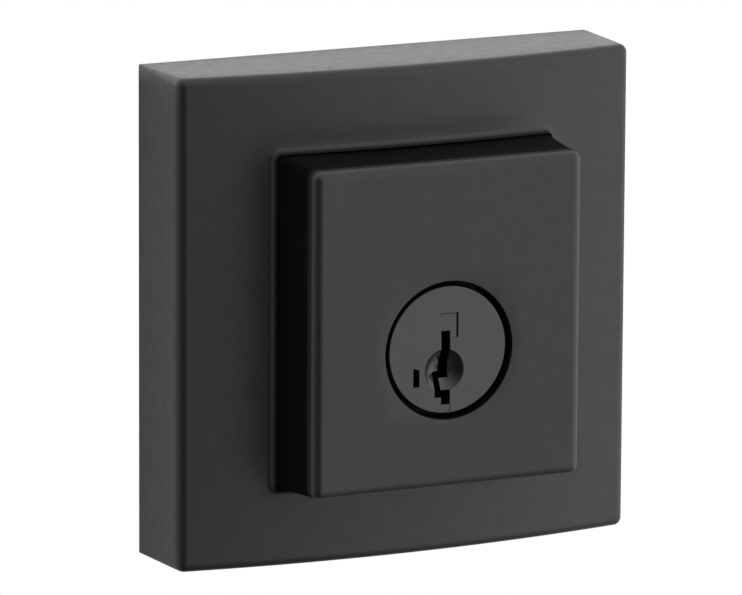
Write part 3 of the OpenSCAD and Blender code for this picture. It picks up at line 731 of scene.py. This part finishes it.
board_white = glow_material("board_white", 1.0)
board_edge = rounded_outline(BOARD_RIGHT - BOARD_LEFT, BOARD_TOP - FLOOR_Z, BOARD_CORNER,
                             (BOARD_LEFT + BOARD_RIGHT) / 2, (BOARD_TOP + FLOOR_Z) / 2)
board_hole = circle_like(board_edge, BOARD_HOLE_R)
board_rings = [ring_at(board_edge, -BOARD_GAP), ring_at(board_hole, -BOARD_GAP),
               ring_at(board_hole, -BOARD_GAP - BOARD_THICK), ring_at(board_edge, -BOARD_GAP - BOARD_THICK)]
board = loft("display_board", board_rings, board_white, closed=True)

floor_white = bpy.data.materials.new("floor_white")
floor_white.use_nodes = True
floor_shader = floor_white.node_tree.nodes["Principled BSDF"]
floor_shader.inputs["Base Color"].default_value = (0.9, 0.9, 0.9, 1)
floor_shader.inputs["Roughness"].default_value = 0.8
floor = box_mesh("floor", (-FLOOR_HALF, -FLOOR_HALF, FLOOR_Z - FLOOR_THICK),
                 (FLOOR_HALF, FLOOR_HALF, FLOOR_Z), floor_white)
floor.visible_glossy = False
floor.visible_diffuse = False

# ---------------------------------------------------------------- light

world = bpy.data.worlds.new("studio")
bpy.context.scene.world = world
world.use_nodes = True


def compass(azimuth, elevation):
    """A direction: azimuth 0 is in front of the rose and 90 to its right."""
    az = math.radians(azimuth)
    el = math.radians(elevation)
    return math.sin(az) * math.cos(el), -math.cos(az) * math.cos(el), math.sin(el)


def lobe(nodes, links, direction, power, strength, place):
    """Soft light from one side of the studio."""
    dot = nodes.new("ShaderNodeVectorMath")
    dot.operation = "DOT_PRODUCT"
    dot.inputs[1].default_value = Vector(direction).normalized()
    links.new(place, dot.inputs[0])
    clamp = nodes.new("ShaderNodeMath")
    clamp.operation = "MAXIMUM"
    clamp.inputs[1].default_value = 0.0
    links.new(dot.outputs["Value"], clamp.inputs[0])
    raised = nodes.new("ShaderNodeMath")
    raised.operation = "POWER"
    raised.inputs[1].default_value = power
    links.new(clamp.outputs[0], raised.inputs[0])
    scaled = nodes.new("ShaderNodeMath")
    scaled.operation = "MULTIPLY"
    scaled.inputs[1].default_value = strength
    links.new(raised.outputs[0], scaled.inputs[0])
    return scaled.outputs[0]


# azimuth, elevation, how narrow, how strong
LOBES = [
    (44, 0, 3.5, 2.05),
    (118, 0, 2.0, 1.15),
    (-125, 0, 1.5, 0.95),
    (180, 5, 2.0, 0.7),
    (0, 85, 2.0, 1.3),
]
BASE_LIGHT = 0.09
SEEN_LIGHT = 1.0


def build_world():
    """Even white to the camera, and soft light from a few sides to everything else."""
    nodes = world.node_tree.nodes
    links = world.node_tree.links
    background = nodes["Background"]
    place = nodes.new("ShaderNodeTexCoord").outputs["Generated"]
    lobes = [lobe(nodes, links, compass(azimuth, elevation), power, strength, place)
             for azimuth, elevation, power, strength in LOBES]
    total = lobes[0]
    for extra in lobes[1:]:
        add = nodes.new("ShaderNodeMath")
        add.operation = "ADD"
        links.new(total, add.inputs[0])
        links.new(extra, add.inputs[1])
        total = add.outputs[0]
    base = nodes.new("ShaderNodeMath")
    base.operation = "ADD"
    base.inputs[1].default_value = BASE_LIGHT
    links.new(total, base.inputs[0])
    path = nodes.new("ShaderNodeLightPath")
    mix = nodes.new("ShaderNodeMix")
    mix.inputs["B"].default_value = SEEN_LIGHT
    links.new(path.outputs["Is Camera Ray"], mix.inputs["Factor"])
    links.new(base.outputs[0], mix.inputs["A"])
    links.new(mix.outputs["Result"], background.inputs["Strength"])
    background.inputs["Color"].default_value = (1, 1, 1, 1)


build_world()

# ---------------------------------------------------------------- camera

VIEW_AZIMUTH = math.radians(-25.8)
VIEW_ELEVATION = math.radians(11.84)
VIEW_DISTANCE = 0.995
VIEW_ROLL = math.radians(0.31)
VIEW_LENS = 362.1
SENSOR_W = 36
FAR_CLIP = 20

aim = Vector((-5.72 * MM, -14 * MM, ROSE_MID_Z + 2.05 * MM))
away = Vector((math.sin(VIEW_AZIMUTH) * math.cos(VIEW_ELEVATION),
               -math.cos(VIEW_AZIMUTH) * math.cos(VIEW_ELEVATION),
               math.sin(VIEW_ELEVATION)))
camera_data = bpy.data.cameras.new("camera")
camera_data.lens = VIEW_LENS
camera_data.sensor_width = SENSOR_W
camera_data.clip_end = FAR_CLIP
camera = bpy.data.objects.new("camera", camera_data)
camera.location = aim + away * VIEW_DISTANCE
camera.rotation_mode = "QUATERNION"
camera.rotation_quaternion = (-away).to_track_quat("-Z", "Y") @ Quaternion((0, 0, 1), VIEW_ROLL)
bpy.context.scene.collection.objects.link(camera)
bpy.context.scene.camera = camera
bpy.context.scene.view_settings.view_transform = "Standard"
